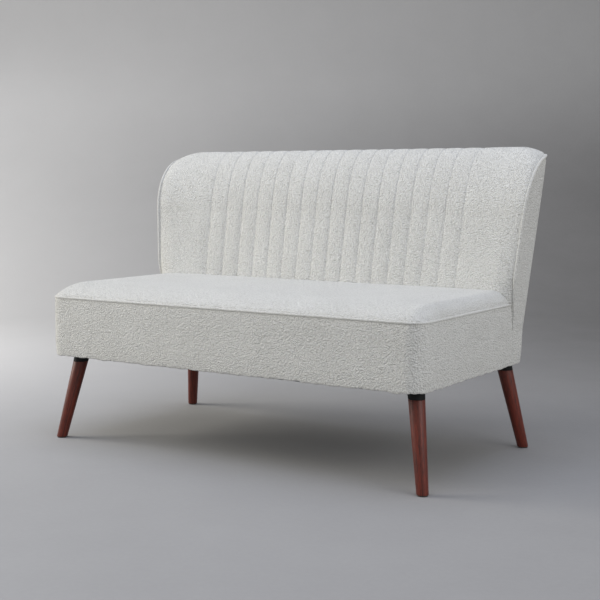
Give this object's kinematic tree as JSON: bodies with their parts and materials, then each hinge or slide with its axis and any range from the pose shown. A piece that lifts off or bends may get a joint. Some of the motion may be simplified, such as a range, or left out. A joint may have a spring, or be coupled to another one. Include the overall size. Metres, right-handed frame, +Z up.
{
  "type": "armless loveseat",
  "caption": "Armless upholstered loveseat: crowned piped seat, channelled back that rolls over at its top, flared sides, and splayed tapered wooden legs with dark collars.",
  "frame": {"origin": "on the floor, under the middle of the overall box", "axes": "+Z up, -Y to the front of the seat, +X to the right of someone looking at the front"},
  "size_m": [1.228, 0.681, 0.8],
  "materials": {
    "boucle": "nubby woven",
    "stained_wood": "satin stain",
    "black_plastic": "matt",
    "nylon": "matt",
    "softwood": "sawn",
    "plywood": "sanded",
    "steel": "oiled",
    "felt": "needled",
    "foam": "open cell",
    "lining": "spun sheet"
  },
  "bodies": {
    "root": {"back_board": "plywood", "back_bolt_centre": "steel", "back_bolt_left": "steel", "back_bolt_right": "steel", "back_foam": "foam", "back_slat": "softwood", "back_upright_centre": "softwood", "back_upright_left": "softwood", "back_upright_right": "softwood", "back_welt": "boucle", "centre_rail": "softwood", "corner_block_front_left": "softwood", "corner_block_front_right": "softwood", "corner_block_rear_left": "softwood", "corner_block_rear_right": "softwood", "crest_rail": "softwood", "dust_cover": "lining", "foot_glide_front_left": "nylon", "foot_glide_front_right": "nylon", "foot_glide_rear_left": "nylon", "foot_glide_rear_right": "nylon", "front_rail": "softwood", "hanger_bolt_front_left": "steel", "hanger_bolt_front_right": "steel", "hanger_bolt_rear_left": "steel", "hanger_bolt_rear_right": "steel", "inside_back": "boucle", "leg_collar_front_left": "black_plastic", "leg_collar_front_right": "black_plastic", "leg_collar_rear_left": "black_plastic", "leg_collar_rear_right": "black_plastic", "leg_front_left": "stained_wood", "leg_front_right": "stained_wood", "leg_rear_left": "stained_wood", "leg_rear_right": "stained_wood", "outside_back": "boucle", "rear_rail": "softwood", "seat_band": "boucle", "seat_foam": "foam", "seat_spring_1": "steel", "seat_spring_2": "steel", "seat_spring_3": "steel", "seat_spring_4": "steel", "seat_spring_5": "steel", "seat_spring_6": "steel", "seat_spring_7": "steel", "seat_top_cover": "boucle", "seat_welt": "boucle", "side_panel_left": "plywood", "side_panel_right": "plywood", "side_rail_left": "softwood", "side_rail_right": "softwood", "spring_pad": "felt", "spring_rail": "softwood", "top_rail": "softwood"}
  },
  "joints": []
}
